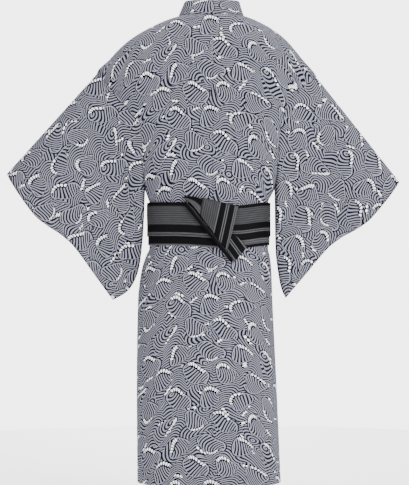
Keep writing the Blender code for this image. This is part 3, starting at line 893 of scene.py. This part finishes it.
for side, name in ((1, "sleeve_left"), (-1, "sleeve_right")):
    sheets = [sleeve_sheet(side, "back"), sleeve_sheet(side, "front")]
    sleeve = sew(f"{name}_cloth", sheets, COTTON_THICKNESS, cotton, flipped=side > 0, outward=False)
    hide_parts(name)
    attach(sleeve, "root")

# Belt. A long firm strip, woven in black and grey stripes with fine ribs across, goes twice
# round the waist; the first turn shows below the second.
BELT_WIDTH = 0.100
BELT_TOP = -0.5626
BELT_SHIFT = 0.026
BELT_THICKNESS = 0.0021
BELT_OUT = 0.0032
BELT_OVER_LAP = 0.0052
BELT_LENGTH_A_DEGREE = 0.00285
BELT_SAG = 0.010
SAG_TURN = 342.0
SAG_SPREAD = 26.0
BELT_LEVEL = BELT_TOP - BELT_WIDTH / 2
TURN_STRIPES = table(
    "start tone",
    (0, 0.0),
    (10, 0.5),
    (65, 0.0),
    (87, 1.0),
    (91.5, 0.1),
    (94, 1.0),
    (98, 0.0),
    (121, 0.8),
    (139, 0.0),
)
KNOT_STRIPES = table(
    "start tone",
    (0, 0.0),
    (3, 0.5),
    (53, 1.0),
    (56, 0.0),
    (73, 1.0),
    (76, 0.1),
    (79, 1.0),
    (82, 0.0),
    (98, 0.75),
    (111, 0.0),
)
STRIPE_SPAN = 160.0
BEHIND_KNOT = -8.0
LEFT_SIDE = 270.0
HALF_ROUND = 486.0
DRAWN_IN = 0.18
RIB_GAP = 6.4
BLACK = (0.0012, 0.0011, 0.0016, 1.0)
GREY = (0.062, 0.062, 0.067, 1.0)


def stripe_tone(down, stripes):
    """Tone of the stripe at a distance down the belt's width."""
    ramp = down.tree.nodes.new("ShaderNodeValToRGB")
    ramp.color_ramp.interpolation = "CONSTANT"
    marks = ramp.color_ramp.elements
    while len(marks) < len(stripes):
        marks.new(1.0)
    for mark, stripe in zip(marks, stripes):
        mark.position = stripe.start / STRIPE_SPAN
        mark.color = (stripe.tone, stripe.tone, stripe.tone, 1.0)
    (down / STRIPE_SPAN).feed(ramp, 0)
    return Shade(down.tree, ramp.outputs[0])


def striped_weave(name, stripes, drawn_in):
    """Black and grey striped weave with fine ribs across the strip.

    The wearer's right half of the turns is drawn in, evenly from one side round the front to the
    other, so its stripes lie closer and meet those of the left half behind the knot.
    """
    made, shader, start = new_material(name, roughness=0.62, shine=0.04)
    place, along, down = cloth_place(start)
    drawn = (along - LEFT_SIDE).math("DIVIDE", HALF_ROUND, clamp=True)
    tone = stripe_tone(down * (drawn * drawn_in + 1.0), stripes)
    pins = (down / RIB_GAP).lines(1.8)
    streaks = place.vector("MULTIPLY", (0.03, 0.75, 0.0))
    fleck = place.make("ShaderNodeTexNoise", {"Vector": streaks, "Scale": 1.0, "Detail": 3.0})
    light = tone * (pins * 0.62 + 0.50) * (fleck * 1.5 + 0.20)
    colour_mix(light, BLACK, GREY).feed(shader, "Base Color")
    ribs = (along * 1.3).math("PINGPONG", 0.5) + tone * 0.2
    bump = ribs.make("ShaderNodeBump", {"Strength": 0.35, "Distance": 0.0004, "Height": ribs})
    bump.feed(shader, "Normal")
    return made


def belt_out(turn):
    """Height of the belt's inner face above the form, which grows over the lapped fronts."""
    lap = ease((turn - 92.0) / 20.0) * ease((268.0 - turn) / 20.0)
    return BELT_OUT + BELT_OVER_LAP * lap


def belt_sheet(drop, out):
    """Closed rows of one turn of the belt, with thin rounded edges, sagging to the knot."""
    points = []
    flats = []
    middle = spread(0.006, BELT_WIDTH - 0.006, 10)
    for lower in [0.0, 0.0012] + middle + [BELT_WIDTH - 0.0012, BELT_WIDTH]:
        at_edge = 0.0007 if lower in (0.0, BELT_WIDTH) else 0.0
        row = []
        flat = []
        for i in range(181):
            turn = BEHIND_KNOT + 2.0 * i
            away = (turn - SAG_TURN + 180.0) % 360.0 - 180.0
            sag = BELT_SAG * math.exp(-(away / SAG_SPREAD) ** 2)
            ripple = 0.0005 * math.sin(math.radians(turn * 5 + 40)) * math.sin(lower * 60)
            point = ring_point(BELT_LEVEL, turn, belt_out(turn) + out - at_edge + ripple)
            point.z = BELT_TOP - drop - lower - sag
            row.append(point)
            flat.append((turn * BELT_LENGTH_A_DEGREE, drop + lower))
        points.append(row)
        flats.append(flat)
    return points, flats


belt_weave = striped_weave("belt_weave", TURN_STRIPES, DRAWN_IN)
for name, drop, out, slot in (
    ("belt_under_turn", BELT_SHIFT, 0.0003, "belt_weave"),
    ("belt_outer_turn", 0.0, 0.0034, "belt_stripe"),
):
    belt = sew(f"{name}_weave", [belt_sheet(drop, out)], BELT_THICKNESS, belt_weave)
    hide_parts(name)
    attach(belt, "root")

# Knot. Behind, the belt's end comes up over the turns, is folded flat along a slanting edge and
# tucked down, with its tail below.
KNOT_OUT = 0.0088
KNOT_SIDE_OUT = 0.009
BAND_BULGE = 0.0058
FLAP_LENGTH = 0.10
FLAP_WIDTH = 0.030
knot_weave = striped_weave("knot_weave", KNOT_STRIPES, 0.0)


def on_belt(side, height, out):
    """Place on the back of the belt, a distance out from its outer turn."""
    half = (half_left(BELT_LEVEL) if side > 0 else half_right(BELT_LEVEL)) + KNOT_SIDE_OUT
    curve = (1 - min(abs(side / half), 1.0) ** ROUNDNESS) ** (1 / ROUNDNESS)
    return Vector((side, (depth_back(BELT_LEVEL) + KNOT_OUT) * curve + out, height))


def patch(corners, steps, lift):
    """Rows over a four-cornered piece, upper edge first, lifted by a function of its two shares."""
    upper_left, upper_right, lower_right, lower_left = [Vector(corner) for corner in corners]
    rows = []
    for down in spread(0.0, 1.0, steps):
        row = []
        for across in spread(0.0, 1.0, steps):
            upper = upper_left.lerp(upper_right, across)
            place = upper.lerp(lower_left.lerp(lower_right, across), down)
            row.append(on_belt(place.x, place.y, lift(across, down)))
        rows.append(row)
    return rows


def along_stripes(rows, origin, direction, start):
    """Flat places of points: along a stripe direction seen from behind, and across it."""
    way = Vector(direction).normalized()
    flats = []
    for row in rows:
        places = [Vector((point.x, point.z)) - Vector(origin) for point in row]
        flats.append([(place.dot(way), start + place.x * way.y - place.y * way.x) for place in places])
    return flats


def add_knot_piece(name, rows, flats, thickness=0.0022):
    """Make one stretch of the belt in the knot stand for its solid."""
    piece = sew(f"{name}_weave", [(rows, flats)], thickness, knot_weave, flipped=True)
    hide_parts(name)
    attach(piece, "root")
    return piece


def band_lift(across, down):
    """The band bulges, rolls over the belt's top edge and is folded under at its slanting edge."""
    bulge = BAND_BULGE * (math.sin(math.pi * across) * math.sin(math.pi * down)) ** 1.2
    roll = 0.0045 * (1 - rounded(down, 0.06)) + 0.0035 * (1 - rounded(across, 0.05))
    return 0.0060 + bulge - roll


BAND_CORNERS = ((0.0290, -0.5505), (-0.0775, -0.5750), (-0.0435, -0.7075), (0.0345, -0.5990))
band_rows = patch(BAND_CORNERS, 28, band_lift)
band_flats = along_stripes(band_rows, BAND_CORNERS[0], (0.0215, -0.1000), 0.0)
add_knot_piece("belt_knot_band", band_rows, band_flats)

FLAP = table(
    "along low_side low_height high_side high_height lift lean",
    (0.00, 0.0885, -0.5485, 0.0880, -0.5465, 0.0045, 0.002),
    (0.18, 0.0780, -0.5560, 0.0700, -0.5445, 0.0030, 0.006),
    (0.40, 0.0640, -0.5680, 0.0500, -0.5465, 0.0020, 0.007),
    (0.65, 0.0480, -0.5880, 0.0290, -0.5560, 0.0012, 0.005),
    (1.00, 0.0280, -0.6160, 0.0100, -0.5900, 0.0010, 0.001),
)
flap_curves = [column(FLAP, "along", name) for name in FLAP[0]._fields[1:]]
flap_across = spread(0.0, 1.0, 10)
flap_rows = []
flap_flats = []
for along in spread(0.0, 1.0, 24):
    low_side, low_height, high_side, high_height, lift, lean = [curve(along) for curve in flap_curves]
    row = []
    for across in flap_across:
        side = low_side + (high_side - low_side) * across
        height = low_height + (high_height - low_height) * across
        row.append(on_belt(side, height, lift + lean * across ** 2))
    flap_rows.append(row)
    flap_flats.append([(along * FLAP_LENGTH, 0.0945 + FLAP_WIDTH * across) for across in flap_across])
add_knot_piece("belt_knot_flap", flap_rows, flap_flats)


def tail_lift(across, down):
    """The tail lies close under the band and stands off a little at its end."""
    return 0.0012 + 0.0020 * math.sin(math.pi * down * 0.5)


TAIL_CORNERS = ((-0.0220, -0.6640), (-0.0633, -0.6545), (-0.1035, -0.6950), (-0.0643, -0.7395))
tail_rows = patch(TAIL_CORNERS, 14, tail_lift)
tail_flats = along_stripes(tail_rows, (-0.0640, -0.6545), (0.0400, 0.0560), 0.057)
add_knot_piece("belt_knot_tail", tail_rows, tail_flats)


def fold_lift(across, down):
    """The folded edge is a soft roll with a groove down its middle."""
    return 0.0045 + 0.0050 * math.sin(math.pi * down) ** 0.7 + 0.0016 * abs(math.sin(2 * math.pi * down))


FOLD_CORNERS = ((0.0790, -0.5600), (-0.0560, -0.7255), (-0.0600, -0.7420), (0.0815, -0.5690))
fold_rows = patch(FOLD_CORNERS, 20, fold_lift)
fold_flats = [[(i * 0.01, 0.0545 + 0.016 * j / 20) for i in range(21)] for j in range(21)]
add_knot_piece("belt_knot_fold", fold_rows, fold_flats)

# Stitches. The hems of the skirt and the cuffs are turned in and caught by hand with cotton
# thread, so that a small stitch shows every 12 mm.
STITCH_LENGTH = 0.0030
STITCH_EVERY = 0.012
THREAD_RADIUS = 0.0003
CUFF_STITCHES = 0.955


def skirt_hem(side):
    """Line of the stitches on one side's hem, from the middle of the back to the front edge."""
    height = HEM_HEIGHT + HEM_DEPTH
    first = turned(side, 2.0)
    last = front_turn(side * (collar_side(height) + 0.004), height)
    on_cloth = COTTON_OUT + COTTON_THICKNESS + THREAD_RADIUS / 2
    turns = spread(first, last, 120)
    return [ring_point(height, turn, layer(side, turn, height) + on_cloth) for turn in turns]


def cuff_hem(side, face):
    """Line of the hem stitches round the back or the front of one cuff."""
    top = ARMHOLES[side][0].height
    line = []
    for along in spread(0.03, 0.97, 80):
        root = armhole_point(side, top + (ARMHOLE_BOTTOM - top) * along, face)
        point = sleeve_point(side, CUFF_STITCHES, along, face, root)
        point.y += THREAD_RADIUS / 2 if face == "back" else -THREAD_RADIUS / 2
        line.append(point)
    return line


hem_lines = [skirt_hem(1), skirt_hem(-1)]
hem_lines += [cuff_hem(side, face) for side in (1, -1) for face in ("back", "front")]
hem_curve = bpy.data.curves.new("hem_lines", "CURVE")
hem_curve.dimensions = "3D"
for line in hem_lines:
    spline = hem_curve.splines.new("POLY")
    spline.points.add(len(line) - 1)
    for point, place in zip(spline.points, line):
        point.co = (*place, 1.0)
hems = new_object("hem_lines", hem_curve)

thread, thread_shader, start = new_material("hem_thread", roughness=0.7, shine=0.1)
twist = start.make("ShaderNodeTexCoord", {}, output=3)
twist = twist.make("ShaderNodeTexNoise", {"Vector": twist, "Scale": 900.0, "Detail": 2.0})
tone = colour_mix(twist, (0.10, 0.10, 0.14, 1.0), (0.30, 0.30, 0.36, 1.0))
tone.feed(thread_shader, "Base Color")

stitching = bpy.data.node_groups.new("stitching", "GeometryNodeTree")
stitching.interface.new_socket("Lines", in_out="INPUT", socket_type="NodeSocketGeometry")
every = stitching.interface.new_socket("Stitch every", in_out="INPUT", socket_type="NodeSocketFloat")
long = stitching.interface.new_socket("Stitch length", in_out="INPUT", socket_type="NodeSocketFloat")
stitching.interface.new_socket("Stitches", in_out="OUTPUT", socket_type="NodeSocketGeometry")
given = stitching.nodes.new("NodeGroupInput")
made = stitching.nodes.new("NodeGroupOutput")
spaced = stitching.nodes.new("GeometryNodeCurveToPoints")
spaced.mode = "LENGTH"
stitch = stitching.nodes.new("GeometryNodeMeshCylinder")
stitch.inputs["Vertices"].default_value = 6
stitch.inputs["Radius"].default_value = THREAD_RADIUS
placed = stitching.nodes.new("GeometryNodeInstanceOnPoints")
real = stitching.nodes.new("GeometryNodeRealizeInstances")
dressed = stitching.nodes.new("GeometryNodeSetMaterial")
dressed.inputs["Material"].default_value = thread
for source, target in (
    (given.outputs["Lines"], spaced.inputs["Curve"]),
    (given.outputs["Stitch every"], spaced.inputs["Length"]),
    (given.outputs["Stitch length"], stitch.inputs["Depth"]),
    (spaced.outputs["Points"], placed.inputs["Points"]),
    (stitch.outputs["Mesh"], placed.inputs["Instance"]),
    (spaced.outputs["Rotation"], placed.inputs["Rotation"]),
    (placed.outputs["Instances"], real.inputs["Geometry"]),
    (real.outputs["Geometry"], dressed.inputs["Geometry"]),
    (dressed.outputs["Geometry"], made.inputs["Stitches"]),
):
    stitching.links.new(source, target)
sewing = hems.modifiers.new("Stitching", "NODES")
sewing.node_group = stitching
sewing[every.identifier] = STITCH_EVERY
sewing[long.identifier] = STITCH_LENGTH
evaluated = hems.evaluated_get(bpy.context.evaluated_depsgraph_get())
stitch_mesh = bpy.data.meshes.new_from_object(evaluated)
stitch_mesh.name = "hem_stitches"
bpy.data.objects.remove(hems)
hem_stitches = new_object("hem_stitches", stitch_mesh)
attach(hem_stitches, "root")

# Stage, light and camera. The robe stands free of a pale floor, seen straight from behind.
PIXEL = 0.00302
PHOTO_SIZE = (409, 485)
ORIGIN_AT = (212, 17)
CAMERA_AWAY = 5.0
FLOOR_HEIGHT = -1.5
floor_mesh = bpy.data.meshes.new("floor")
floor_work = bmesh.new()
bmesh.ops.create_circle(floor_work, cap_ends=True, segments=128, radius=2.4)
bmesh.ops.translate(floor_work, verts=floor_work.verts, vec=(0.0, 0.0, FLOOR_HEIGHT))
floor_work.to_mesh(floor_mesh)
floor_work.free()
floor = new_object("floor", floor_mesh)
pale, pale_shader, _ = new_material("pale_paper", roughness=0.9)
pale_shader.inputs["Base Color"].default_value = (0.95, 0.95, 0.95, 1.0)
floor_mesh.materials.append(pale)

WORLD_LIGHT = 1.1
WORLD_SEEN = 4.6
world = bpy.data.worlds.new("studio")
bpy.context.scene.world = world
world.use_nodes = True
lit_node = world.node_tree.nodes["Background"]
lit_node.inputs["Color"].default_value = (1.0, 1.0, 1.0, 1.0)
lit_node.inputs["Strength"].default_value = WORLD_LIGHT
lit = Shade(world.node_tree, lit_node.outputs[0])
seen = lit.make("ShaderNodeBackground", {0: (1.0, 1.0, 1.0, 1.0), 1: WORLD_SEEN})
by_ray = lit.make("ShaderNodeLightPath", {})
both = lit.make("ShaderNodeMixShader", {0: by_ray, 1: lit, 2: seen})
both.feed(world.node_tree.nodes["World Output"], "Surface")
for lamp in table(
    "name place aim size power",
    ("key", (-2.6, 3.4, 0.9), (0.0, 0.0, -0.6), 2.0, 360.0),
    ("fill", (2.8, 3.2, -0.2), (0.0, 0.0, -0.6), 2.6, 110.0),
    ("front", (0.5, -3.4, 1.2), (0.0, 0.0, -0.6), 2.0, 260.0),
    ("overhead", (0.0, -0.6, 3.2), (0.0, -0.6, -1.5), 3.6, 330.0),
):
    light = bpy.data.lights.new(lamp.name, "AREA")
    light.energy = lamp.power
    light.size = lamp.size
    holder = new_object(lamp.name, light)
    holder.location = lamp.place
    aim = Vector(lamp.aim) - holder.location
    holder.rotation_euler = aim.to_track_quat("-Z", "Y").to_euler()

camera_data = bpy.data.cameras.new("camera")
camera_data.sensor_fit = "VERTICAL"
camera_data.sensor_height = 36.0
camera_data.lens = camera_data.sensor_height * CAMERA_AWAY / (PHOTO_SIZE[1] * PIXEL)
camera = new_object("camera", camera_data)
aside = (ORIGIN_AT[0] - PHOTO_SIZE[0] / 2) * PIXEL
level = (ORIGIN_AT[1] - PHOTO_SIZE[1] / 2) * PIXEL
camera.location = (aside, CAMERA_AWAY, level)
camera.rotation_euler = (math.radians(90), 0.0, math.radians(180))
bpy.context.scene.camera = camera
